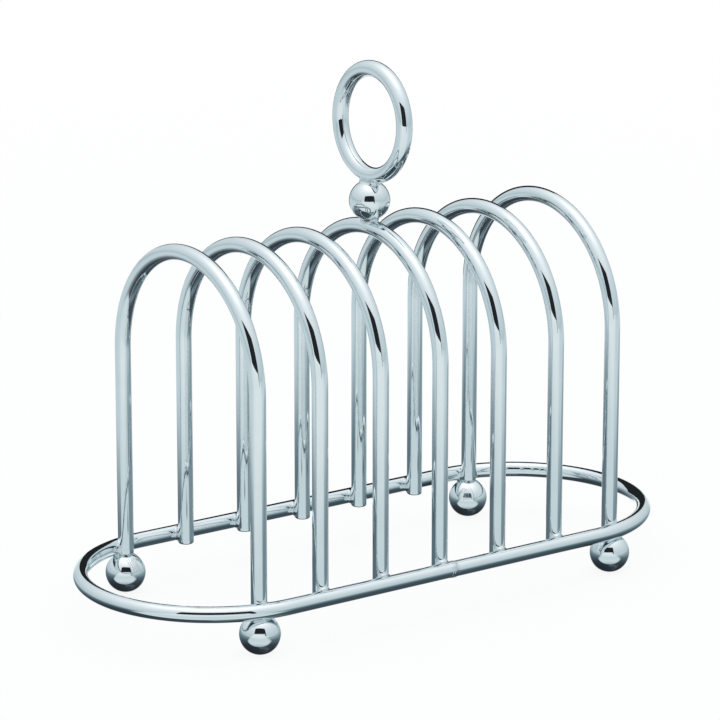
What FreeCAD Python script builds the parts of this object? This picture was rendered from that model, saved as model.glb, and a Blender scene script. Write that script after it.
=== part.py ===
import FreeCAD, Part
import math
import os
import Sketcher

# Toast rack in bright-plated round wire. Seven inverted-U hoops stand inside a
# racetrack-shaped base ring and are welded to it, four balls under the end hoops
# are the feet, and a ball on the middle hoop carries the round lifting handle.
# Millimetres. The origin is on the table under the middle of the rack, X runs
# along the rack, Y across it (the front is -Y) and Z is up.

HOOPS = 7
MIDDLE = HOOPS // 2
SIDES = {"front": -1, "rear": 1}
ENDS = {"left": 0, "right": HOOPS - 1}
NEAR = 1e-4

DRIVING_SIZES = (
    ("wire_dia", 5.0, "round wire of the hoops, base ring and handle"),
    ("ball_dia", 12.7, "half-inch balls of the feet and the finial"),
    ("hoop_pitch", 22.5, "hoop to hoop along the rack"),
    ("hoop_spread", 72.8, "leg axis to leg axis of one hoop"),
    ("hoop_rise", 64.0, "straight leg above the base ring's centreline"),
    ("leg_tail", 2.6, "leg below the base ring's centreline"),
    ("end_lift", 1.0, "the end hoops stand this much higher, on top of their balls"),
    ("leg_round", 0.6, "rounding of the cut wire ends"),
    ("base_width", 81.5, "base ring across, centreline to centreline"),
    ("base_run", 118.0, "straight side of the base ring"),
    ("base_height", 14.25, "base ring's centreline above the table"),
    ("foot_shift", 0.4, "foot ball outward of the leg axis"),
    ("finial_sink", 0.35, "set-down of the finial ball into the middle hoop"),
    ("handle_dia", 33.0, "handle ring across, centreline to centreline"),
    ("handle_sink", 1.0, "set-down of the handle ring into the finial ball"),
    ("handle_lean", 2.2, "degrees that the handle leans towards the right end"),
    ("leg_weld_dia", 6.2, "weld metal round each leg and base ring crossing"),
    ("foot_weld_bead", 2.0, "thickness of the weld bead round a leg on its foot"),
    ("foot_weld_dia", 4.4, "centreline of that bead across"),
    ("neck_weld_high", 3.0, "height of the welds above and below the finial"),
    ("finial_weld_x", 4.0, "weld under the finial, along the rack"),
    ("finial_weld_y", 5.2, "weld under the finial, across the rack"),
    ("handle_weld_x", 4.2, "weld over the finial, along the rack"),
    ("handle_weld_y", 6.6, "weld over the finial, across the rack"),
    ("seam_x", 1.5, "butt joint of the base ring, right of the middle hoop"),
    ("seam_bead", 2.2, "thickness of the butt joint's weld bead"),
    ("seam_proud", 0.25, "height of that bead above the wire"),
)

# Heights and half sizes that several pieces share, worked out in the sheet. The end
# hoops stand where the base ring has begun to turn in, so their crossings are on
# the line from the centre of that turn through the leg.
DERIVED_SIZES = (
    ("wire_radius", "=wire_dia / 2"),
    ("ball_radius", "=ball_dia / 2"),
    ("bend_height", "=base_height + hoop_rise"),
    ("hoop_crown", "=bend_height + hoop_spread / 2 + wire_radius"),
    ("finial_height", "=hoop_crown + ball_radius - finial_sink"),
    ("handle_stand", "=ball_radius - handle_sink + wire_radius + handle_dia / 2"),
    ("handle_weld_stand", "=ball_radius - handle_sink / 2"),
    ("crossing_y", "=(base_width + hoop_spread) / 4"),
    ("corner_run", "=hoop_pitch * %d - base_run / 2" % MIDDLE),
    ("corner_reach", "=sqrt(corner_run ^ 2 + (hoop_spread / 2) ^ 2)"),
    ("corner_spread", "=(1 + base_width / 2 / corner_reach) / 2"),
    ("corner_x", "=base_run / 2 + corner_run * corner_spread"),
    ("corner_y", "=hoop_spread / 2 * corner_spread"),
    ("foot_y", "=hoop_spread / 2 + foot_shift"),
    ("end_leg_foot", "=base_height - leg_tail + end_lift"),
)

doc = FreeCAD.newDocument("toast_rack")
sheet = doc.addObject("Spreadsheet::Sheet", "sizes")
pieces = []


def fill_sheet():
    """Write the driving sizes as plain numbers and the shared ones as formulas."""
    row = 0
    for alias, value, note in DRIVING_SIZES:
        row += 1
        sheet.set("A%d" % row, alias)
        sheet.set("B%d" % row, str(value))
        sheet.set("C%d" % row, note)
        sheet.setAlias("B%d" % row, alias)
    for alias, formula in DERIVED_SIZES:
        row += 1
        sheet.set("A%d" % row, alias)
        sheet.set("B%d" % row, formula)
        sheet.setAlias("B%d" % row, alias)
    doc.recompute()


def size(alias):
    return float(sheet.get(alias))


def place(item, x="0", y="0", z="0"):
    """Bind an object's position to formulas over the sheet."""
    for direction, formula in zip("xyz", (x, y, z)):
        item.setExpression("Placement.Base." + direction, formula)


def hoop_x(index):
    """Formula for a hoop's place along the rack, counted from the left."""
    return "sizes.hoop_pitch * %d" % (index - MIDDLE)


def signed(sign, alias):
    return "sizes.%s * %d" % (alias, sign)


def keep(item, label, solids=1):
    """Name a finished piece; the label is its file's name."""
    item.Label = label
    pieces.append((item, solids))
    return item


def cut_away(item, tools, name):
    """Cut each neighbour out of a piece, so that the two meet face to face."""
    for number, tool in enumerate(tools):
        cut = doc.addObject("Part::Cut", "%s_less_%d" % (name, number + 1))
        cut.Base = item
        cut.Tool = tool
        item = cut
    return item


def group(items, name):
    bundle = doc.addObject("Part::Compound", name)
    bundle.Links = items
    return bundle


def bind(sketch, constraint, name, formula):
    index = sketch.addConstraint(constraint)
    sketch.renameConstraint(index, name)
    sketch.setExpression("Constraints." + name, formula)


def wire_body(name, plane, draw_path, edges):
    """A body of round wire: a path sketch on an origin plane, swept by a circle."""
    body = doc.addObject("PartDesign::Body", name)
    origin = {feature.Role: feature for feature in body.Origin.OriginFeatures}
    path = body.newObject("Sketcher::SketchObject", name + "_path")
    path.AttachmentSupport = [(origin[plane], "")]
    path.MapMode = "FlatFace"
    draw_path(path)
    section = body.newObject("Sketcher::SketchObject", name + "_section")
    section.AttachmentSupport = [(path, "Edge1")]
    section.MapMode = "NormalToEdge"
    section.MapPathParameter = 0
    circle = Part.Circle(FreeCAD.Vector(), FreeCAD.Vector(0, 0, 1), size("wire_radius"))
    section.addGeometry(circle)
    section.addConstraint(Sketcher.Constraint("Coincident", 0, 3, -1, 1))
    bind(section, Sketcher.Constraint("Diameter", 0, size("wire_dia")), "wire_dia", "sizes.wire_dia")
    doc.recompute()
    pipe = body.newObject("PartDesign::AdditivePipe", name + "_pipe")
    pipe.Profile = (section, [""])
    pipe.Spine = (path, ["Edge%d" % (number + 1) for number in range(edges)])
    doc.recompute()
    return body


def draw_hoop(path):
    """Leg, half circle, leg; in the plane's own axes Y is across and Z is up."""
    half = size("hoop_spread") / 2
    bend = size("bend_height")
    end = size("base_height") - size("leg_tail")
    corner = FreeCAD.Vector
    path.addGeometry(Part.LineSegment(corner(-half, end, 0), corner(-half, bend, 0)))
    circle = Part.Circle(corner(0, bend, 0), corner(0, 0, 1), half)
    path.addGeometry(Part.ArcOfCircle(circle, 0, math.pi))
    path.addGeometry(Part.LineSegment(corner(half, bend, 0), corner(half, end, 0)))
    rule = Sketcher.Constraint
    path.addConstraint(rule("Vertical", 0))
    path.addConstraint(rule("Vertical", 2))
    path.addConstraint(rule("Tangent", 0, 2, 1, 2))
    path.addConstraint(rule("Tangent", 1, 1, 2, 1))
    path.addConstraint(rule("PointOnObject", 1, 3, -2))
    path.addConstraint(rule("Equal", 0, 2))
    bind(path, rule("Radius", 1, half), "bend_radius", "sizes.hoop_spread / 2")
    bind(path, rule("DistanceY", -1, 1, 1, 3, bend), "bend_height", "sizes.bend_height")
    bind(path, rule("DistanceY", -1, 1, 0, 1, end), "leg_end", "sizes.base_height - sizes.leg_tail")


def draw_racetrack(path):
    """Two straight runs joined by half circles, at the base ring's height."""
    half = size("base_width") / 2
    run = size("base_run") / 2
    corner = FreeCAD.Vector
    path.setExpression("AttachmentOffset.Base.z", "sizes.base_height")
    path.addGeometry(Part.LineSegment(corner(-run, -half, 0), corner(run, -half, 0)))
    right = Part.Circle(corner(run, 0, 0), corner(0, 0, 1), half)
    path.addGeometry(Part.ArcOfCircle(right, -math.pi / 2, math.pi / 2))
    path.addGeometry(Part.LineSegment(corner(run, half, 0), corner(-run, half, 0)))
    left = Part.Circle(corner(-run, 0, 0), corner(0, 0, 1), half)
    path.addGeometry(Part.ArcOfCircle(left, math.pi / 2, 3 * math.pi / 2))
    rule = Sketcher.Constraint
    for first, last in ((0, 1), (1, 2), (2, 3), (3, 0)):
        path.addConstraint(rule("Tangent", first, 2, last, 1))
    path.addConstraint(rule("Horizontal", 0))
    path.addConstraint(rule("Equal", 1, 3))
    path.addConstraint(rule("Symmetric", 1, 3, 3, 3, -1, 1))
    bind(path, rule("DistanceX", 0, 1, 0, 2, 2 * run), "base_run", "sizes.base_run")
    bind(path, rule("Radius", 1, half), "end_radius", "sizes.base_width / 2")


def round_wire_ends(body, name):
    """Ease the rims of the two cut ends, the edges that lie level with them."""
    pipe = body.Tip
    end = size("base_height") - size("leg_tail")
    rims = []
    for number, edge in enumerate(pipe.Shape.Edges):
        if all(abs(vertex.Z - end) < NEAR for vertex in edge.Vertexes):
            rims.append("Edge%d" % (number + 1))
    rounding = body.newObject("PartDesign::Fillet", name + "_ends")
    rounding.Base = (pipe, rims)
    rounding.setExpression("Radius", "sizes.leg_round")


def make_ball(name, x, y, z):
    ball = doc.addObject("Part::Sphere", name)
    ball.setExpression("Radius", "sizes.ball_radius")
    place(ball, x, y, z)
    return ball


def place_over_finial(item, stand, turn="0"):
    """Put an object on the handle's leaning centreline, above the finial ball's middle."""
    item.Placement.Rotation = FreeCAD.Rotation(FreeCAD.Vector(0, 1, 0), 90)
    item.setExpression("Placement.Rotation.Angle", turn + " + sizes.handle_lean")
    across = "sizes.%s * sin(sizes.handle_lean)" % stand
    up = "sizes.finial_height + sizes.%s * cos(sizes.handle_lean)" % stand
    place(item, x=across, z=up)


def make_handle():
    """A ring of the same wire that stands over the middle hoop, in nearly its plane."""
    ring = doc.addObject("Part::Torus", "handle")
    ring.setExpression("Radius1", "sizes.handle_dia / 2")
    ring.setExpression("Radius2", "sizes.wire_radius")
    place_over_finial(ring, "handle_stand", "90")
    return ring


def make_crossing(name, x, y):
    """Weld metal squeezed out where a leg crosses the base ring's inner side."""
    blob = doc.addObject("Part::Sphere", name + "_crossing")
    blob.setExpression("Radius", "sizes.leg_weld_dia / 2")
    place(blob, x, y, "sizes.base_height")
    return blob


def make_corner_weld(side, end):
    """An end hoop's crossing, joined to the bead round its leg where it stands on its ball."""
    name = "%s_%s" % (side, end)
    index = ENDS[end]
    toward = 1 if index > MIDDLE else -1
    crossing = make_crossing(name, signed(toward, "corner_x"), signed(SIDES[side], "corner_y"))
    bead = doc.addObject("Part::Torus", name + "_bead")
    bead.setExpression("Radius1", "sizes.foot_weld_dia / 2")
    bead.setExpression("Radius2", "sizes.foot_weld_bead / 2")
    place(bead, hoop_x(index), signed(SIDES[side], "hoop_spread / 2"), "sizes.end_leg_foot")
    weld = doc.addObject("Part::Fuse", name + "_corner")
    weld.Base = crossing
    weld.Tool = bead
    return weld


def make_neck_weld(name):
    """A lens of weld metal for the rack's middle, wider across than along."""
    lens = doc.addObject("Part::Ellipsoid", name + "_lens")
    lens.setExpression("Radius1", "sizes.neck_weld_high / 2")
    lens.setExpression("Radius2", "sizes.%s_x / 2" % name)
    lens.setExpression("Radius3", "sizes.%s_y / 2" % name)
    return lens


def make_seam():
    """The raised bead of the base ring's butt joint, round the front straight run."""
    bead = doc.addObject("Part::Torus", "seam_bead")
    bead.setExpression("Radius1", "sizes.wire_radius + sizes.seam_proud - sizes.seam_bead / 2")
    bead.setExpression("Radius2", "sizes.seam_bead / 2")
    bead.Placement.Rotation = FreeCAD.Rotation(FreeCAD.Vector(0, 1, 0), 90)
    place(bead, "sizes.seam_x", "sizes.base_width / -2", "sizes.base_height")
    return bead


def build():
    base = wire_body("base_wire", "XY_Plane", draw_racetrack, 4)
    wires = []
    for index in range(HOOPS):
        name = "hoop_wire_%d" % (index + 1)
        body = wire_body(name, "YZ_Plane", draw_hoop, 3)
        round_wire_ends(body, name)
        lift = "sizes.end_lift" if index in ENDS.values() else "0"
        place(body, x=hoop_x(index), z=lift)
        wires.append(body)
    balls = {}
    for side, sign in SIDES.items():
        for end, index in ENDS.items():
            name = "%s_%s_ball" % (side, end)
            balls[side, end] = make_ball(name, hoop_x(index), signed(sign, "foot_y"), "sizes.ball_radius")
    finial = make_ball("finial", "0", "0", "sizes.finial_height")
    handle = make_handle()

    # The base ring and the handle keep their full round wire. The hoops are notched
    # for the ring and rest on the balls, and the balls are dented by the wires.
    keep(base, "base_ring")
    keep(handle, "handle_ring")
    for index, wire in enumerate(wires):
        neighbours = [base]
        for (side, end), ball in balls.items():
            if ENDS[end] == index:
                neighbours.append(ball)
        keep(cut_away(wire, neighbours, wire.Name), "hoop_%d" % (index + 1))
    for (side, end), ball in balls.items():
        keep(cut_away(ball, [base], ball.Name), "foot_%s_%s" % (side, end))
    keep(cut_away(finial, [wires[MIDDLE], handle], "finial"), "finial_ball")

    for side, sign in SIDES.items():
        welds = []
        for index in range(1, HOOPS - 1):
            name = "%s_%d" % (side, index + 1)
            crossing = make_crossing(name, hoop_x(index), signed(sign, "crossing_y"))
            welds.append(cut_away(crossing, [base, wires[index]], crossing.Name))
        keep(group(welds, side + "_welds"), side + "_leg_welds", solids=len(welds))
    welds = []
    for (side, end), ball in balls.items():
        corner = make_corner_weld(side, end)
        welds.append(cut_away(corner, [ball, base, wires[ENDS[end]]], corner.Name))
    keep(group(welds, "corners"), "corner_welds", solids=len(welds))
    lens = make_neck_weld("finial_weld")
    place(lens, z="sizes.hoop_crown")
    keep(cut_away(lens, [finial, wires[MIDDLE]], "finial_weld"), "finial_weld")
    lens = make_neck_weld("handle_weld")
    place_over_finial(lens, "handle_weld_stand")
    keep(cut_away(lens, [finial, handle], "handle_weld"), "handle_weld")
    front_crossing = make_crossing("seam", hoop_x(MIDDLE), signed(SIDES["front"], "crossing_y"))
    seam = cut_away(make_seam(), [base, wires[MIDDLE], front_crossing], "seam")
    keep(seam, "base_ring_seam")
    doc.recompute()


def check():
    """Stop on any failed object, and on a piece that isn't its own sound solids."""
    for item in doc.Objects:
        if "Invalid" in item.State or "Error" in item.State:
            raise RuntimeError("%s did not compute" % item.Name)
    for item, solids in pieces:
        shape = item.Shape
        if shape.isNull() or not shape.isValid():
            raise RuntimeError("%s has no valid shape" % item.Label)
        if len(shape.Solids) != solids:
            raise RuntimeError("%s has %d solids" % (item.Label, len(shape.Solids)))


def export():
    os.makedirs("parts", exist_ok=True)
    for item, _ in pieces:
        item.Shape.exportStep("parts/%s.step" % item.Label)
        print("%-18s %9.2f mm3" % (item.Label, item.Shape.Volume))


fill_sheet()
build()
check()
export()
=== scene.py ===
# Looks for the chrome toast rack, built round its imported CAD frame. Lengths are in metres in the
# CAD frame: X runs along the rack, Y to its rear and Z up. Every CAD node is replaced by a finer
# mesh of the same size: swept wires that carry their drawn grain, balls, and weld metal melted
# over the joints.

import math

import bmesh
import bpy
import numpy as np
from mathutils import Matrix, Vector, noise


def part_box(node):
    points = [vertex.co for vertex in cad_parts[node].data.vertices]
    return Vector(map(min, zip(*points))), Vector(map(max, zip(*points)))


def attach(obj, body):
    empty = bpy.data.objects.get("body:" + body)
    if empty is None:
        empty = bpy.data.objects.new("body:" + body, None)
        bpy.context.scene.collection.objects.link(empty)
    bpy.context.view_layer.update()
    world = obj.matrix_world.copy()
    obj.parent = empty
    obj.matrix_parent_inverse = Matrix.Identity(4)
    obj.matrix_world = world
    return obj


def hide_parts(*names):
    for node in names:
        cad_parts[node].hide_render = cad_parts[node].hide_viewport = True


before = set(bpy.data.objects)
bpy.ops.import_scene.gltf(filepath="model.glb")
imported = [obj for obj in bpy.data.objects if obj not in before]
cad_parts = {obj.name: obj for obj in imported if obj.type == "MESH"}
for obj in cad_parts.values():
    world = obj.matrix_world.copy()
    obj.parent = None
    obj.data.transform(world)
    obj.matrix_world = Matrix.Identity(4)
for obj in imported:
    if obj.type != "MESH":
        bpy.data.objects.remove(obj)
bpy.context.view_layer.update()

MM = 0.001
BODY = "root"
HOOP_COUNT = 7
MIDDLE_HOOP = 4
SIDES = {"front": -1, "rear": 1}
ENDS = {"left": 1, "right": HOOP_COUNT}


# ---------------------------------------------------------------- sizes, read from the frame

def middle_and_size(node):
    low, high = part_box(node)
    return (low + high) / 2, high - low


def hoop_places(number):
    """A hoop's place along the rack, the height of its leg ends and of the centre of its bend."""
    low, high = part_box(f"hoop_{number}")
    return (low.x + high.x) / 2, low.z, high.z - WIRE_R - LEG_Y


# A turn is the radius of a bend's centreline, and RING_RUN is half of the ring's straight run.
ring_middle, ring_size = middle_and_size("base_ring")
WIRE_R = ring_size.z / 2
RING_Z = ring_middle.z
RING_TURN = ring_size.y / 2 - WIRE_R
RING_RUN = (ring_size.x - ring_size.y) / 2
SEAM_X = middle_and_size("base_ring_seam")[0].x
LEG_Y = middle_and_size(f"hoop_{MIDDLE_HOOP}")[1].y / 2 - WIRE_R
finial_middle, finial_size = middle_and_size("finial_ball")
BALL_R = finial_size.y / 2
handle_middle, handle_size = middle_and_size("handle_ring")
HANDLE_TURN = handle_size.y / 2 - WIRE_R
HANDLE_LEAN = math.asin((handle_size.x / 2 - WIRE_R) / HANDLE_TURN)
HANDLE_UP = Vector((math.sin(HANDLE_LEAN), 0, math.cos(HANDLE_LEAN)))
HANDLE_AXIS = Vector((math.cos(HANDLE_LEAN), 0, -math.sin(HANDLE_LEAN)))


# ---------------------------------------------------------------- pieces

def add_piece(name, node, slot, *shells):
    """One mesh object that stands for a CAD node. Each shell is (points, faces, grain, wear):
    grain is a place in the metal for the material's marks, and wear is 1 where it is dullest."""
    points, faces, grain, wear = [], [], [], []
    for shell_points, shell_faces, shell_grain, shell_wear in shells:
        start = sum(len(p) for p in points)
        points.append(shell_points)
        faces += [[start + int(i) for i in face] for face in shell_faces]
        grain.append(shell_grain)
        wear.append(shell_wear)
    mesh = bpy.data.meshes.new(name)
    mesh.from_pydata(np.concatenate(points).tolist(), [], faces)
    mesh.shade_smooth()
    for label, kind, field, values in (
        ("grain", "FLOAT_VECTOR", "vector", grain),
        ("wear", "FLOAT", "value", wear),
    ):
        data = mesh.attributes.new(label, kind, "POINT").data
        data.foreach_set(field, np.concatenate(values).astype(np.float32).ravel())
    mesh.materials.append(CHROME[slot])
    piece = bpy.data.objects.new(name, mesh)
    bpy.context.scene.collection.objects.link(piece)
    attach(piece, BODY)
    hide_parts(node)


SEED_STEPS = (7.31, 3.17, 5.71)


def perlin(points, length, seed):
    """Smooth noise from -1 to 1 at each point, with features about length long."""
    shift = Vector([seed * step for step in SEED_STEPS])
    return np.array([noise.noise(Vector(p) * (1 / length) + shift) for p in points])


def tube_faces(rows, columns, closed):
    """Outward faces of a tube whose points go round it row by row. A closed tube's ends meet."""
    faces = []
    for i in range(rows if closed else rows - 1):
        near, far = i * columns, (i + 1) % rows * columns
        for j in range(columns):
            beside = (j + 1) % columns
            faces.append((near + j, far + j, far + beside, near + beside))
    return faces


def points_and_faces(shape):
    """The points and faces of a bmesh, which is freed."""
    shape.verts.index_update()
    points = np.array([v.co for v in shape.verts])
    faces = [[v.index for v in face.verts] for face in shape.faces]
    shape.free()
    return points, faces


# ---------------------------------------------------------------- wires

STATION_STEP = 1.0 * MM
AROUND = 48
END_ROUND = 0.6 * MM
END_STEPS = 6
WIRE_RIPPLE, WIRE_RIPPLE_LENGTH = 0.004 * MM, 9 * MM


def sweep(line, bend_axis, closed, seed):
    """A round wire along a line that bends in the plane across bend_axis. An open wire's ends are
    rounded."""
    count = len(line)
    if closed:
        tangent = np.roll(line, -1, 0) - np.roll(line, 1, 0)
    else:
        tangent = np.gradient(line, axis=0)
    tangent /= np.linalg.norm(tangent, axis=1)[:, None]
    axis = np.array(bend_axis, float)
    side = np.cross(tangent, axis)
    along = np.concatenate([[0], np.cumsum(np.linalg.norm(np.diff(line, axis=0), axis=1))])
    radius = np.full(count, WIRE_R)
    if not closed:
        from_end = np.minimum(along, along[-1] - along)
        rise = np.clip(1 - from_end / END_ROUND, 0, 1)
        radius -= END_ROUND * (1 - np.sqrt(1 - rise ** 2))
    angle = np.linspace(0, 2 * math.pi, AROUND, endpoint=False)
    across = np.cos(angle)[None, :, None] * side[:, None, :] + np.sin(angle)[None, :, None] * axis
    points = (line[:, None, :] + radius[:, None, None] * across).reshape(-1, 3)
    outward = across.reshape(-1, 3)
    # The grain unrolls the wire: along it, and across its section.
    grain = np.stack(
        [
            np.repeat(along, AROUND),
            np.tile(WIRE_R * np.cos(angle), count),
            np.tile(WIRE_R * np.sin(angle), count),
        ],
        1,
    )
    faces = tube_faces(count, AROUND, closed)
    if not closed:
        for row, turn in ((0, 1), (count - 1, -1)):
            tip = len(points)
            points = np.concatenate([points, line[row][None]])
            outward = np.concatenate([outward, np.zeros((1, 3))])
            grain = np.concatenate([grain, [[along[row], 0, 0]]])
            rim = [row * AROUND + j for j in range(AROUND)]
            faces += [(tip, rim[j], rim[(j + 1) % AROUND])[::turn] for j in range(AROUND)]
    points += (WIRE_RIPPLE * perlin(grain, WIRE_RIPPLE_LENGTH, seed))[:, None] * outward
    return points, faces, grain, np.zeros(len(points))


def arc(centre, radius, start, stop, steps):
    """Points of an arc as pairs in its plane, from start to stop in radians."""
    turn = np.linspace(start, stop, steps)
    return np.stack([centre[0] + radius * np.cos(turn), centre[1] + radius * np.sin(turn)], 1)


def steps_for(length):
    return max(2, round(length / STATION_STEP))


def ring_line():
    """The base ring's centreline, starting at its butt joint on the front run."""
    turn_steps = steps_for(math.pi * RING_TURN)
    run_steps = steps_for(2 * RING_RUN)
    right = arc((RING_RUN, 0), RING_TURN, -math.pi / 2, math.pi / 2, turn_steps)
    left = arc((-RING_RUN, 0), RING_TURN, math.pi / 2, 3 * math.pi / 2, turn_steps)
    along = np.linspace(-RING_RUN, RING_RUN, run_steps + 1)[1:-1]
    front = np.stack([along, np.full_like(along, -RING_TURN)], 1)
    rear = np.stack([-along, np.full_like(along, RING_TURN)], 1)
    flat = np.concatenate([front, right, rear, left])
    flat = np.roll(flat, -int(np.argmin(np.abs(front[:, 0] - SEAM_X))), 0)
    return np.concatenate([flat, np.full((len(flat), 1), RING_Z)], 1)


def hoop_line(number):
    """A hoop's centreline, from its front leg's end over the bend to its rear leg's end."""
    x, foot, bend = hoop_places(number)
    rounding = END_ROUND * (1 - np.cos(np.linspace(0, math.pi / 2, END_STEPS)))
    straight = np.linspace(foot + END_ROUND, bend, steps_for(bend - foot))[1:-1]
    leg = np.concatenate([foot + rounding, straight])
    crown = arc((0, bend), LEG_Y, math.pi, 0, steps_for(math.pi * LEG_Y))
    front = np.stack([np.full_like(leg, -LEG_Y), leg], 1)
    rear = np.stack([np.full_like(leg, LEG_Y), leg], 1)[::-1]
    bent = np.concatenate([front, crown, rear])
    return np.concatenate([np.full((len(bent), 1), x), bent], 1)


def handle_line():
    """The handle ring's centreline, starting at the bottom, where its ends meet."""
    steps = steps_for(2 * math.pi * HANDLE_TURN)
    turn = np.linspace(0, 2 * math.pi, steps, endpoint=False) - math.pi / 2
    across = np.outer(np.cos(turn), (0, 1, 0))
    up = np.outer(np.sin(turn), HANDLE_UP)
    return np.array(handle_middle) + HANDLE_TURN * (across + up)


# ---------------------------------------------------------------- balls

BALL_CUTS = 31
BALL_RIPPLE, BALL_RIPPLE_LENGTH = 0.006 * MM, 5 * MM
RUBBED_OFF = 0.02 * MM
RUBBED_HEIGHT = 0.5 * MM


def ball(centre, seed, worn_foot):
    """A polished ball as an even quad mesh. A foot is rubbed slightly flat where it stands."""
    cube = bmesh.new()
    bmesh.ops.create_cube(cube, size=2)
    bmesh.ops.subdivide_edges(cube, edges=cube.edges[:], cuts=BALL_CUTS, use_grid_fill=True)
    corners, faces = points_and_faces(cube)
    # Each cube face's grid is spread evenly over the ball by the tangent of equal angles.
    spread = np.tan(corners * math.pi / 4)
    outward = spread / np.linalg.norm(spread, axis=1)[:, None]
    points = np.array(centre) + outward * BALL_R
    points += (BALL_RIPPLE * perlin(points, BALL_RIPPLE_LENGTH, seed))[:, None] * outward
    wear = np.zeros(len(points))
    if worn_foot:
        rubbed = centre[2] - BALL_R + RUBBED_OFF
        points[:, 2] = np.maximum(points[:, 2], rubbed)
        wear = np.clip((rubbed + RUBBED_HEIGHT - points[:, 2]) / RUBBED_HEIGHT, 0, 1)
    return points, faces, points.copy(), wear


# ---------------------------------------------------------------- welds

def from_rod(x, y, end):
    """Distance to an upright round leg that ends at a height."""
    def gap(p):
        across = np.hypot(p[:, 0] - x, p[:, 1] - y) - WIRE_R
        below = end - p[:, 2]
        return np.where(below > 0, np.hypot(np.maximum(across, 0), below), across)
    return gap


def from_ring(p):
    """Distance to the base ring."""
    past_run = np.maximum(np.abs(p[:, 0]) - RING_RUN, 0)
    return np.hypot(np.hypot(past_run, p[:, 1]) - RING_TURN, p[:, 2] - RING_Z) - WIRE_R


def from_hoop_crown(number):
    """Distance to a hoop's bend."""
    x, _, bend = hoop_places(number)

    def gap(p):
        return np.hypot(np.hypot(p[:, 1], p[:, 2] - bend) - LEG_Y, p[:, 0] - x) - WIRE_R
    return gap


def from_handle(p):
    """Distance to the handle ring."""
    offset = p - np.array(handle_middle)
    turn = np.hypot(offset[:, 1], offset @ np.array(HANDLE_UP)) - HANDLE_TURN
    return np.hypot(turn, offset @ np.array(HANDLE_AXIS)) - WIRE_R


def from_ball(centre):
    """Distance to a ball."""
    def gap(p):
        return np.linalg.norm(p - np.array(centre), axis=1) - BALL_R
    return gap


def melt(distances, reaches):
    """Distance to several solids that flow into each other. reaches says how far the fillet of
    each one after the first goes."""
    joined = distances[0]
    for other, reach in zip(distances[1:], reaches):
        share = np.clip(0.5 + (other - joined) / (2 * reach), 0, 1)
        joined = other * (1 - share) + joined * share - reach * share * (1 - share)
    return joined


# Weld metal is sunk under the skins it covers, and faster beyond its own size.
WELD_SUNK = 0.03 * MM
WELD_CLOSING = 1.6
RAY_STEP = 0.08 * MM
RAY_HALVINGS = 14
COARSE_LUMPS, COARSE_LUMP_LENGTH = 0.6, 1.1 * MM
FINE_LUMPS, FINE_LUMP_LENGTH = 0.4, 0.45 * MM


def weld(centre, gaps, reaches, lump, size, detail, seed):
    """Weld metal over a joint: the joined parts' own melted surface round centre, sunk under their
    skins away from the joint, with the uneven lumps of a real weld where it shows."""
    sphere = bmesh.new()
    bmesh.ops.create_icosphere(sphere, subdivisions=detail, radius=1)
    outward, faces = points_and_faces(sphere)
    outward /= np.linalg.norm(outward, axis=1)[:, None]
    centre = np.array(centre)

    def field(p):
        strayed = np.maximum(np.linalg.norm(p - centre, axis=1) - size, 0)
        return melt([gap(p) for gap in gaps], reaches) + WELD_SUNK + WELD_CLOSING * strayed

    # Each ray from the centre steps out to the surface, which is then closed in on by halves.
    inside = np.zeros(len(outward))
    open_ray = np.ones(len(outward), bool)
    while open_ray.any():
        open_ray &= field(centre + (inside + RAY_STEP)[:, None] * outward) < 0
        inside[open_ray] += RAY_STEP
    outside = inside + RAY_STEP
    for _ in range(RAY_HALVINGS):
        halfway = (inside + outside) / 2
        within = field(centre + halfway[:, None] * outward) < 0
        inside = np.where(within, halfway, inside)
        outside = np.where(within, outside, halfway)
    points = centre + outside[:, None] * outward
    # A fillet stands proud of the surfaces it joins by at most a quarter of its reach.
    distances = [gap(points) for gap in gaps]
    proud = (np.min(distances, axis=0) - melt(distances, reaches)) / (reaches[0] / 4)
    proud = np.clip(proud, 0, 1)
    coarse = COARSE_LUMPS * perlin(points, COARSE_LUMP_LENGTH, seed)
    fine = FINE_LUMPS * perlin(points, FINE_LUMP_LENGTH, seed + 1)
    points += (lump * (coarse + fine) * np.sqrt(proud))[:, None] * outward
    return points, faces, points.copy(), proud


SEAM_HALF = 1.5 * MM
SEAM_SWELL, SEAM_SUNK, SEAM_UNEVEN_AT = 0.13 * MM, 0.04 * MM, 0.1 * MM
SEAM_COARSE, SEAM_COARSE_LENGTH = 0.10 * MM, 0.9 * MM
SEAM_FINE, SEAM_FINE_LENGTH = 0.05 * MM, 0.4 * MM
SEAM_RIM_FROM, SEAM_RIM_SUNK = 0.98, 0.3 * MM
SEAM_ROWS, SEAM_AROUND = 25, 96


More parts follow.
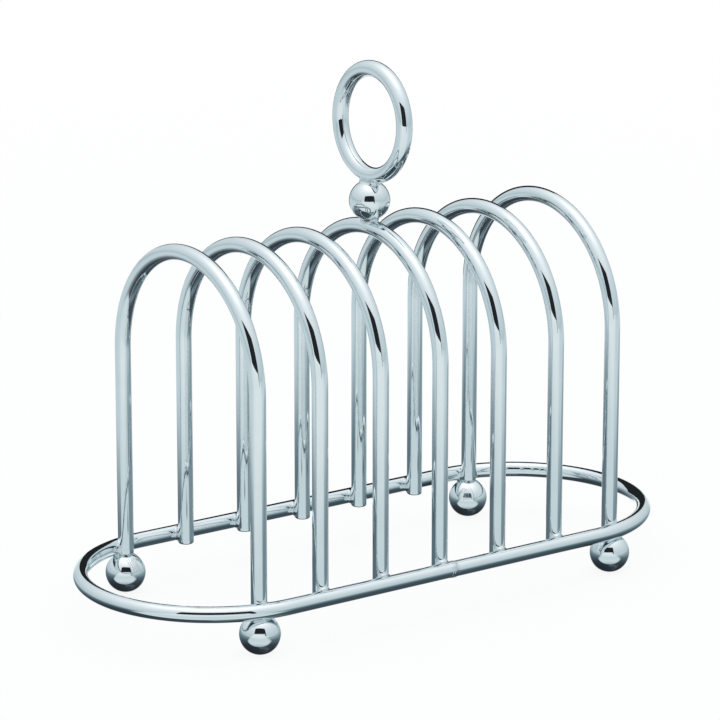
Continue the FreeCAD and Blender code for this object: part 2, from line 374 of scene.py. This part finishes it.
def ring_seam(seed):
    """The bead of the ring's butt joint: a low band round the wire, thick and thin along and round
    it, whose rims are hidden under the wire's skin."""
    along, turn = np.meshgrid(
        np.linspace(-SEAM_HALF, SEAM_HALF, SEAM_ROWS),
        np.linspace(0, 2 * math.pi, SEAM_AROUND, endpoint=False),
        indexing="ij",
    )
    along, turn = along.ravel(), turn.ravel()
    on_wire = np.stack([along, WIRE_R * np.cos(turn), WIRE_R * np.sin(turn)], 1)
    swell = SEAM_SWELL * np.sqrt(np.clip(1 - (along / SEAM_HALF) ** 2, 0, 1)) - SEAM_SUNK
    uneven = SEAM_COARSE * perlin(on_wire, SEAM_COARSE_LENGTH, seed)
    uneven += SEAM_FINE * perlin(on_wire, SEAM_FINE_LENGTH, seed + 1)
    uneven *= np.clip(swell / SEAM_UNEVEN_AT, 0, 1)
    rim = np.abs(along) > SEAM_RIM_FROM * SEAM_HALF
    radius = WIRE_R + np.where(rim, -SEAM_RIM_SUNK, swell + uneven)
    points = np.stack(
        [SEAM_X + along, -RING_TURN - radius * np.cos(turn), RING_Z + radius * np.sin(turn)], 1
    )
    faces = tube_faces(SEAM_ROWS, SEAM_AROUND, False)
    faces.append(tuple(range(SEAM_AROUND)))
    faces.append(tuple((SEAM_ROWS - 1) * SEAM_AROUND + j for j in reversed(range(SEAM_AROUND))))
    return points, faces, points.copy(), np.clip(1 - np.abs(along) / SEAM_HALF, 0, 1)


# ---------------------------------------------------------------- node trees

class Nodes:
    """The node tree of a material or world, with one call for each node."""

    def __init__(self, owner):
        owner.use_nodes = True
        self.tree = owner.node_tree
        self.tree.nodes.clear()

    def add(self, kind, inputs=None, **settings):
        node = self.tree.nodes.new("ShaderNode" + kind)
        for key, value in settings.items():
            setattr(node, key, value)
        for socket, value in (inputs or {}).items():
            self.put(node.inputs[socket], value)
        return node

    def put(self, socket, value):
        if isinstance(value, bpy.types.NodeSocket):
            self.tree.links.new(value, socket)
        else:
            socket.default_value = value

    def math(self, operation, *values):
        return self.add("Math", dict(enumerate(values)), operation=operation).outputs[0]

    def dot(self, vector, direction):
        inputs = {0: vector, 1: tuple(direction)}
        return self.add("VectorMath", inputs, operation="DOT_PRODUCT").outputs["Value"]

    def length(self, vector):
        return self.add("VectorMath", {0: vector}, operation="LENGTH").outputs["Value"]

    def spread(self, value, low, high, to_low, to_high, smooth=False):
        """value carried from the range low to high to another range, and held at its ends."""
        inputs = {0: value, 1: low, 2: high, 3: to_low, 4: to_high}
        curve = "SMOOTHSTEP" if smooth else "LINEAR"
        return self.add("MapRange", inputs, interpolation_type=curve).outputs[0]

    def mix(self, share, first, second):
        """The first colour at share 0, and the second at 1."""
        return self.add("Mix", {0: share, 6: first, 7: second}, data_type="RGBA").outputs[2]

    def scaled(self, vector, scale):
        return self.add("Mapping", {"Vector": vector, "Scale": scale}).outputs[0]

    def noise(self, vector, scale, detail):
        inputs = {"Vector": vector, "Scale": scale, "Detail": detail}
        return self.add("TexNoise", inputs).outputs[0]

    def ramp(self, value, stops):
        """A colour for each place from 0 to 1, even between stops."""
        ramp = self.add("ValToRGB", {0: value})
        elements = ramp.color_ramp.elements
        while len(elements) < len(stops):
            elements.new(0.5)
        for element, (place, colour) in zip(elements, stops):
            element.position = place
            element.color = (*colour, 1)
        return ramp.outputs[0]

    def bump(self, height, distance, strength=1.0, normal=None):
        inputs = {"Strength": strength, "Distance": distance, "Height": height}
        if normal is not None:
            inputs["Normal"] = normal
        return self.add("Bump", inputs).outputs[0]

    def glow(self, colour):
        return self.add("Emission", {"Color": colour, "Strength": 1.0}).outputs[0]

    def clear(self):
        return self.add("BsdfTransparent").outputs[0]

    def blend(self, share, first, second):
        """The first surface at share 0, and the second at 1."""
        return self.add("MixShader", {0: share, 1: first, 2: second}).outputs[0]

    def output(self, surface, kind="Material"):
        self.add("Output" + kind, {"Surface": surface})


def new_material(name):
    material = bpy.data.materials.new(name)
    return material, Nodes(material)


# ---------------------------------------------------------------- chrome

# Scales of the marks, in features per metre.
CLOUDS, SMEARS, WAVES, SPECKS = 140, 420, 160, 2600
# The part of each noise's range that shows, and the most tint or dullness that it brings.
CLOUD_SHOWS, CLOUD_TINT = (0.35, 0.7), 0.55
SMEAR_SHOWS, SMEAR_HAZE = (0.45, 0.75), 0.5
DRAWN_SHOWS, DRAWN_STREAK = (0.5, 0.8), 0.25
WEAR_TINT = 0.6
FULLY_DULL = 1.4
LINE_DEPTH, LINE_STRENGTH = 0.0015 * MM, 0.35


def chrome(name, bright, dull, smooth, rough, grain_stretch, ripple, pits):
    """Plated metal. Its tint drifts between two tones, it is duller where it is worn or welded, and
    its skin has the slow ripple of polishing, fine marks along its grain and small pits."""
    material, n = new_material(name)
    grain = n.add("Attribute", attribute_name="grain").outputs["Vector"]
    wear = n.add("Attribute", attribute_name="wear").outputs["Fac"]
    cloud = n.noise(grain, CLOUDS, 3)
    smear = n.noise(grain, SMEARS, 4)
    drawn = n.noise(n.scaled(grain, grain_stretch), 1, 3)
    speck = n.noise(grain, SPECKS, 2)
    polish = n.noise(grain, WAVES, 1)

    drift = n.spread(cloud, *CLOUD_SHOWS, 0, CLOUD_TINT)
    tone = n.math("MINIMUM", n.math("MULTIPLY_ADD", wear, WEAR_TINT, drift), 1)
    colour = n.mix(tone, (*bright, 1), (*dull, 1))
    haze = n.spread(smear, *SMEAR_SHOWS, 0, SMEAR_HAZE, smooth=True)
    streak = n.spread(drawn, *DRAWN_SHOWS, 0, DRAWN_STREAK)
    dullness = n.math("ADD", wear, n.math("ADD", haze, streak))
    roughness = n.spread(dullness, 0, FULLY_DULL, smooth, rough)
    wave = n.bump(polish, ripple)
    lines = n.bump(drawn, LINE_DEPTH, LINE_STRENGTH, wave)
    marks = n.bump(speck, pits, wear, lines)
    inputs = {"Base Color": colour, "Metallic": 1.0, "Roughness": roughness, "Normal": marks}
    n.output(n.add("BsdfPrincipled", inputs).outputs[0])
    return material


CHROME = {
    "chrome_wire": chrome(
        "chrome_wire", bright=(0.80, 0.86, 0.88), dull=(0.74, 0.81, 0.84), smooth=0.04, rough=0.10,
        grain_stretch=(40, 2600, 2600), ripple=0.004 * MM, pits=0.02 * MM,
    ),
    "chrome_ball": chrome(
        "chrome_ball", bright=(0.81, 0.87, 0.89), dull=(0.76, 0.82, 0.85), smooth=0.025, rough=0.2,
        grain_stretch=(900, 900, 900), ripple=0.006 * MM, pits=0.03 * MM,
    ),
    "chrome_weld": chrome(
        "chrome_weld", bright=(0.79, 0.85, 0.87), dull=(0.62, 0.67, 0.70), smooth=0.05, rough=0.30,
        grain_stretch=(1500, 1500, 1500), ripple=0.010 * MM, pits=0.05 * MM,
    ),
}


# ---------------------------------------------------------------- build

RING_SEED, HANDLE_SEED, FINIAL_SEED, FOOT_SEED = 1, 20, 30, 31
SEAM_SEED, FINIAL_WELD_SEED, HANDLE_WELD_SEED = 61, 81, 83
HOOP_SEEDS, LEG_WELD_SEEDS, CORNER_WELD_SEEDS = 10, 40, 70

LEG_WELD = dict(reaches=[1.7 * MM], lump=0.22 * MM, size=3.1 * MM, detail=4)
CORNER_WELD = dict(reaches=[1.5 * MM, 0.6 * MM], lump=0.26 * MM, size=4.4 * MM, detail=5)
FINIAL_WELD = dict(reaches=[1.8 * MM], lump=0.10 * MM, size=3.2 * MM, detail=5)
HANDLE_WELD = dict(reaches=[2.0 * MM], lump=0.12 * MM, size=3.6 * MM, detail=5)
CORNER_OUT, CORNER_DOWN = 0.9 * MM, 0.35 * MM


def build_wires():
    ring = sweep(ring_line(), (0, 0, 1), True, RING_SEED)
    add_piece("base_ring_wire", "base_ring", "chrome_wire", ring)
    add_piece("base_ring_joint", "base_ring_seam", "chrome_weld", ring_seam(SEAM_SEED))
    for number in range(1, HOOP_COUNT + 1):
        hoop = sweep(hoop_line(number), (1, 0, 0), False, HOOP_SEEDS + number)
        add_piece(f"hoop_wire_{number}", f"hoop_{number}", "chrome_wire", hoop)
    handle = sweep(handle_line(), -HANDLE_AXIS, True, HANDLE_SEED)
    add_piece("handle_ring_wire", "handle_ring", "chrome_wire", handle)


def build_balls():
    finial = ball(finial_middle, FINIAL_SEED, False)
    add_piece("finial_polished", "finial_ball", "chrome_ball", finial)
    for side in SIDES:
        for end in ENDS:
            node = f"foot_{side}_{end}"
            foot = ball(middle_and_size(node)[0], FOOT_SEED, True)
            add_piece(f"{node}_polished", node, "chrome_ball", foot)


def build_leg_welds():
    for side, sign in SIDES.items():
        shells = []
        for number in range(2, HOOP_COUNT):
            x, foot, _ = hoop_places(number)
            joint = (x, sign * (LEG_Y + RING_TURN) / 2, RING_Z)
            gaps = [from_rod(x, sign * LEG_Y, foot), from_ring]
            shells.append(weld(joint, gaps, seed=LEG_WELD_SEEDS + 10 * number + sign, **LEG_WELD))
        add_piece(f"{side}_leg_weld_metal", f"{side}_leg_welds", "chrome_weld", *shells)


def build_corner_welds():
    shells = []
    for side, sign in SIDES.items():
        for end, number in ENDS.items():
            ball_middle, _ = middle_and_size(f"foot_{side}_{end}")
            x, foot, _ = hoop_places(number)
            joint = (x, sign * (LEG_Y + CORNER_OUT), foot - CORNER_DOWN)
            gaps = [from_rod(x, sign * LEG_Y, foot), from_ring, from_ball(ball_middle)]
            shells.append(weld(joint, gaps, seed=CORNER_WELD_SEEDS + number + sign, **CORNER_WELD))
    add_piece("corner_weld_metal", "corner_welds", "chrome_weld", *shells)


def build_finial_welds():
    """The welds under and over the finial ball."""
    on_finial = from_ball(finial_middle)
    crown_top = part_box(f"hoop_{MIDDLE_HOOP}")[1].z
    ball_bottom = finial_middle.z - BALL_R
    joint = (finial_middle.x, 0, (crown_top + ball_bottom) / 2)
    gaps = [from_hoop_crown(MIDDLE_HOOP), on_finial]
    under = weld(joint, gaps, seed=FINIAL_WELD_SEED, **FINIAL_WELD)
    add_piece("finial_weld_metal", "finial_weld", "chrome_weld", under)
    handle_bottom = (handle_middle - finial_middle).length - HANDLE_TURN - WIRE_R
    joint = finial_middle + HANDLE_UP * (handle_bottom + BALL_R) / 2
    over = weld(joint, [from_handle, on_finial], seed=HANDLE_WELD_SEED, **HANDLE_WELD)
    add_piece("handle_weld_metal", "handle_weld", "chrome_weld", over)


build_wires()
build_balls()
build_leg_welds()
build_corner_welds()
build_finial_welds()


# ---------------------------------------------------------------- camera

VIEW_AZIMUTH = math.radians(36.15)
VIEW_PITCH = math.radians(15.09)
VIEW_DISTANCE = 1253.5 * MM
VIEW_LENS = 201.7
VIEW_SENSOR = 36
AIM = Vector((-2.7 * MM, 1.3 * MM, 72.3 * MM))

ahead = Vector((
    math.sin(VIEW_AZIMUTH) * math.cos(VIEW_PITCH),
    math.cos(VIEW_AZIMUTH) * math.cos(VIEW_PITCH),
    -math.sin(VIEW_PITCH),
))
toward_camera = Vector((-math.sin(VIEW_AZIMUTH), -math.cos(VIEW_AZIMUTH), 0))
camera_right = Vector((math.cos(VIEW_AZIMUTH), -math.sin(VIEW_AZIMUTH), 0))

camera = bpy.data.objects.new("camera", bpy.data.cameras.new("camera"))
bpy.context.scene.collection.objects.link(camera)
camera.data.lens = VIEW_LENS
camera.data.sensor_width = VIEW_SENSOR
camera.location = AIM - ahead * VIEW_DISTANCE
camera.rotation_mode = "QUATERNION"
camera.rotation_quaternion = ahead.to_track_quat("-Z", "Y")
bpy.context.scene.camera = camera


# ---------------------------------------------------------------- light tent, by direction

RADIAN = 180 / math.pi  # in degrees
BACKDROP = (1.0, 1.0, 1.0)

# The tent's colours at elevations in degrees, in four sectors round the rack. Below the horizon
# they are the floor's painted light and shade: the dark stops are painted shadow of the rack,
# darkest straight under it, and the front's lit stops are a painted pool of light.
OVERHEAD = ((47, (0.90, 0.935, 0.95)), (60, (1.06, 1.08, 1.09)), (80, (1.4, 1.4, 1.4)))
WALLS = ((8, (0.62, 0.71, 0.735)), (30, (0.76, 0.81, 0.84)), *OVERHEAD)
TENT_LEFT = (
    (-90, (0.06, 0.08, 0.10)), (-60, (0.038, 0.050, 0.062)), (-38, (0.038, 0.052, 0.066)),
    (-26, (0.065, 0.095, 0.115)), (-18, (0.12, 0.165, 0.19)), (-10, (0.23, 0.30, 0.33)),
    (-3, (0.42, 0.51, 0.54)), *WALLS,
)
# On the right, the light stop at -66 degrees is a painted reflection among the painted shadow.
TENT_RIGHT = (
    (-90, (0.06, 0.08, 0.095)), (-75, (0.10, 0.135, 0.16)), (-66, (0.20, 0.26, 0.29)),
    (-57, (0.06, 0.082, 0.10)), (-42, (0.055, 0.076, 0.092)), (-26, (0.10, 0.14, 0.165)),
    (-18, (0.20, 0.27, 0.30)), (-10, (0.36, 0.45, 0.48)), (-3, (0.52, 0.62, 0.65)), *WALLS,
)
TENT_FRONT = (
    (-90, (0.08, 0.11, 0.13)), (-66, (0.30, 0.37, 0.40)), (-58, (0.60, 0.69, 0.71)),
    (-50, (0.74, 0.82, 0.84)), (-35, (0.72, 0.80, 0.82)), (-15, (0.66, 0.75, 0.77)),
    (-3, (0.82, 0.88, 0.89)), (9, (0.92, 0.96, 0.97)), (14, (0.70, 0.77, 0.80)),
    (30, (0.76, 0.81, 0.84)), *OVERHEAD,
)
TENT_REAR = (
    (-90, (0.07, 0.095, 0.115)), (-44, (0.06, 0.08, 0.10)), (-30, (1.0, 1.0, 1.0)),
    (2, (1.1, 1.1, 1.1)), *WALLS,
)

# The front sector is a fan of painted light on the floor, in degrees: its half widths, how softly
# its edges fade, how fast it narrows with height, and the elevations of its widest part and its
# foot.
FAN_LEFT, FAN_RIGHT = 70.0, 65.0
FAN_LEFT_SOFT, FAN_RIGHT_SOFT = 7.0, 11.0
FAN_LEFT_NARROWS, FAN_RIGHT_NARROWS = 1.0, 1.3
FAN_WIDEST, FAN_FOOT = -26.0, -60.0
REAR_HALF, REAR_SOFT = 22.0, 7.0


def azimuth(n, vector):
    """Degrees from the camera's side of the rack, growing to the right, up to 180 behind it."""
    beside = n.dot(vector, camera_right)
    facing = n.dot(vector, toward_camera)
    return n.math("MULTIPLY", n.math("ARCTAN2", beside, facing), RADIAN)


def rear_share(n, vector):
    """1 in the sector behind the rack, and 0 outside it."""
    off = n.math("SUBTRACT", 180.0, n.math("ABSOLUTE", azimuth(n, vector)))
    return n.spread(off, REAR_HALF - REAR_SOFT, REAR_HALF + REAR_SOFT, 1, 0, smooth=True)


def paint_surroundings():
    """The light tent by direction: bright overhead and pale walls. Below the horizon it paints the
    light and shade on the floor round the rack, for the chrome to mirror: a painted pool of light
    in a fan on the camera's side, white behind, and painted shadow of the rack at the sides and
    straight under it. The camera sees a plain backdrop."""
    world = bpy.data.worlds.new("light_tent")
    bpy.context.scene.world = world
    n = Nodes(world)
    direction = n.add("TexCoord").outputs["Generated"]
    around = azimuth(n, direction)
    elevation = n.math("MULTIPLY", n.math("ARCSINE", n.dot(direction, (0, 0, 1))), RADIAN)
    height = n.spread(elevation, -90, 90, 0, 1)

    def sector(stops):
        return n.ramp(height, [((degrees + 90) / 180, colour) for degrees, colour in stops])

    def past(edge, soft):
        beyond = n.math("SUBTRACT", around, edge)
        return n.spread(beyond, -soft, soft, 0, 1, smooth=True)

    # Below its widest part the fan closes in an ellipse, round the painted contact shadow straight
    # under the rack.
    above = n.math("MAXIMUM", n.math("SUBTRACT", elevation, FAN_WIDEST), 0)
    sunk = n.spread(elevation, FAN_WIDEST, FAN_FOOT, 0, 1)
    width = n.math("SQRT", n.math("SUBTRACT", 1.0, n.math("MULTIPLY", sunk, sunk)))
    left_half = n.math("MULTIPLY", width, -FAN_LEFT)
    right_half = n.math("MULTIPLY", width, FAN_RIGHT)
    left_edge = n.math("MULTIPLY_ADD", above, FAN_LEFT_NARROWS, left_half)
    right_edge = n.math("MULTIPLY_ADD", above, -FAN_RIGHT_NARROWS, right_half)
    painted = n.mix(past(left_edge, FAN_LEFT_SOFT), sector(TENT_LEFT), sector(TENT_FRONT))
    painted = n.mix(past(right_edge, FAN_RIGHT_SOFT), painted, sector(TENT_RIGHT))
    painted = n.mix(rear_share(n, direction), painted, sector(TENT_REAR))
    seen = n.add("LightPath").outputs["Is Camera Ray"]
    colour = n.mix(seen, painted, (*BACKDROP, 1))
    n.output(n.add("Background", {"Color": colour, "Strength": 1.0}).outputs[0], "World")


# ---------------------------------------------------------------- light tent, near the rack

RAYS = ("camera", "diffuse", "glossy", "transmission", "volume_scatter", "shadow")


def stage_sheet(name, corners, material, rays):
    """A flat stage sheet that only the named rays meet."""
    mesh = bpy.data.meshes.new(name)
    mesh.from_pydata([tuple(c) for c in corners], [], [tuple(range(len(corners)))])
    mesh.materials.append(material)
    sheet = bpy.data.objects.new(name, mesh)
    bpy.context.scene.collection.objects.link(sheet)
    for ray in RAYS:
        setattr(sheet, "visible_" + ray, ray in rays)
    return sheet


def square(half):
    return [(-half, -half, 0), (half, -half, 0), (half, half, 0), (-half, half, 0)]


def upright(distance, places):
    """Corners, as (right, up) places, of a sheet across the view, distance from the rack's middle
    toward the camera."""
    middle = toward_camera * distance
    return [middle + camera_right * right + Vector((0, 0, up)) for right, up in places]


def plain_glow(name, colour):
    material, n = new_material(name)
    n.output(n.glow((*colour, 1)))
    return material


FLOOR_HALF = 40.0
FLOOR_COLOUR = (0.95, 0.955, 0.96)
FLOOR_OWN_LIGHT = 0.9
FLOOR_FADES_FROM, FLOOR_FADES_TO = 0.25, 1.2


def build_floor():
    """A plain near-white floor, mostly lit by itself so that the rack's shadow stays faint, and
    wholly so further out, where it meets the backdrop. Chrome mirrors the painted tent instead."""
    material, n = new_material("pale_floor")
    away = n.length(n.add("NewGeometry").outputs["Position"])
    own_light = n.spread(
        away, FLOOR_FADES_FROM, FLOOR_FADES_TO, FLOOR_OWN_LIGHT, 1, smooth=True
    )
    matt = n.add("BsdfDiffuse", {"Color": (*FLOOR_COLOUR, 1)}).outputs[0]
    n.output(n.blend(own_light, matt, n.glow((*BACKDROP, 1))))
    rays = ("camera", "diffuse", "transmission", "shadow")
    stage_sheet("floor", square(FLOOR_HALF), material, rays)


OPENING_DISTANCE = 0.55
OPENING_LEFT, OPENING_RIGHT = -0.317, 0.305
OPENING_LOW, OPENING_HIGH = 0.145, 0.515
STAND_LEFT, STAND_SLANT, STAND_LOW = 0.235, 0.03, 0.035


def build_tent_opening():
    """The dark opening in the tent's front that the camera looks through, and the stand at its
    corner. Only the chrome mirrors them."""
    dark = plain_glow("dark_opening", (0.018, 0.02, 0.024))
    opening = (
        (OPENING_LEFT, OPENING_LOW), (OPENING_RIGHT, OPENING_LOW),
        (OPENING_RIGHT, OPENING_HIGH), (OPENING_LEFT, OPENING_HIGH),
    )
    stand = (
        (STAND_LEFT + STAND_SLANT, STAND_LOW), (OPENING_RIGHT, STAND_LOW),
        (OPENING_RIGHT, OPENING_LOW), (STAND_LEFT, OPENING_LOW),
    )
    stage_sheet("tent_opening", upright(OPENING_DISTANCE, opening), dark, ("glossy",))
    stage_sheet("tent_stand", upright(OPENING_DISTANCE, stand), dark, ("glossy",))


REAR_DARK_DISTANCE = -0.27
REAR_DARK_OUTLINE = (
    (-0.140, 0.022), (0.140, 0.062), (0.140, 0.130),
    (0.075, 0.290), (-0.030, 0.255), (-0.140, 0.150),
)


def build_rear_dark_sheet():
    """A dark sheet standing behind the rack, which only the chrome mirrors, so that the chrome
    mirrors dark at its edges.
    """
    dark = plain_glow("rear_dark_glow", (0.016, 0.018, 0.02))
    stage_sheet("rear_dark_sheet", upright(REAR_DARK_DISTANCE, REAR_DARK_OUTLINE), dark, ("glossy",))


SHADE_COLOUR = (0.012, 0.016, 0.02)
SHADE_DEEPEST = 0.8
SHADE_FROM, SHADE_TO = 3 * MM, 14 * MM
SHADE_SUNK = 0.02 * MM


def build_shade_under_feet():
    """The painted contact shadow where each ball stands, a dark spot which only the chrome mirrors.
    """
    material, n = new_material("foot_shade")
    away = n.length(n.add("TexCoord").outputs["Object"])
    share = n.spread(away, SHADE_FROM, SHADE_TO, SHADE_DEEPEST, 0, smooth=True)
    n.output(n.blend(share, n.clear(), n.glow((*SHADE_COLOUR, 1))))
    for side in SIDES:
        for end in ENDS:
            foot, _ = middle_and_size(f"foot_{side}_{end}")
            spot = stage_sheet(f"shade_{side}_{end}", square(SHADE_TO), material, ("glossy",))
            spot.location = (foot.x, foot.y, -SHADE_SUNK)


FAR_HALF = 6.0
FAR_FRONT, FAR_REAR = (0.85, 0.895, 0.90), (1.1, 1.1, 1.1)
FAR_SIDE, FAR_SIDE_DISTANT = (0.64, 0.73, 0.76), (0.55, 0.64, 0.67)
FAR_FADES_FROM, FAR_FADES_TO = 0.11, 0.30
RIGHT_REAR_LATER = 0.15
RIGHT_REAR_FROM, RIGHT_REAR_TO = 85, 115
BESIDE_FROM, BESIDE_TO = 25, 75
DISTANT_FROM, DISTANT_TO = 0.5, 2.5


def build_far_floor():
    """The tent's lit floor away from the rack, as the chrome mirrors it, a sheet that glows with
    the floor's painted light: it fades in past the painted shadow round the rack, which reaches
    furthest on the right towards the rear, and is brightest in front and behind."""
    material, n = new_material("far_floor")
    place = n.add("NewGeometry").outputs["Position"]
    away = n.length(place)
    around = azimuth(n, place)
    # The painted shadow round the rack shows through until the sheet fades in, RIGHT_REAR_LATER
    # further out on the right towards the rear.
    right_rear = n.spread(around, RIGHT_REAR_FROM, RIGHT_REAR_TO, 0, 1, smooth=True)
    reached = n.math("MULTIPLY_ADD", right_rear, -RIGHT_REAR_LATER, away)
    share = n.spread(reached, FAR_FADES_FROM, FAR_FADES_TO, 0, 1, smooth=True)
    # The floor's painted light is dimmer at the sides, and dimmer still far away there.
    beside = n.spread(n.math("ABSOLUTE", around), BESIDE_FROM, BESIDE_TO, 0, 1, smooth=True)
    distant = n.spread(away, DISTANT_FROM, DISTANT_TO, 0, 1)
    at_side = n.mix(distant, (*FAR_SIDE, 1), (*FAR_SIDE_DISTANT, 1))
    colour = n.mix(beside, (*FAR_FRONT, 1), at_side)
    colour = n.mix(rear_share(n, place), colour, (*FAR_REAR, 1))
    n.output(n.blend(share, n.clear(), n.glow(colour)))
    stage_sheet("far_floor", square(FAR_HALF), material, ("glossy",))


paint_surroundings()
build_floor()
build_tent_opening()
build_rear_dark_sheet()
build_shade_under_feet()
build_far_floor()
bpy.context.scene.view_settings.view_transform = "Standard"
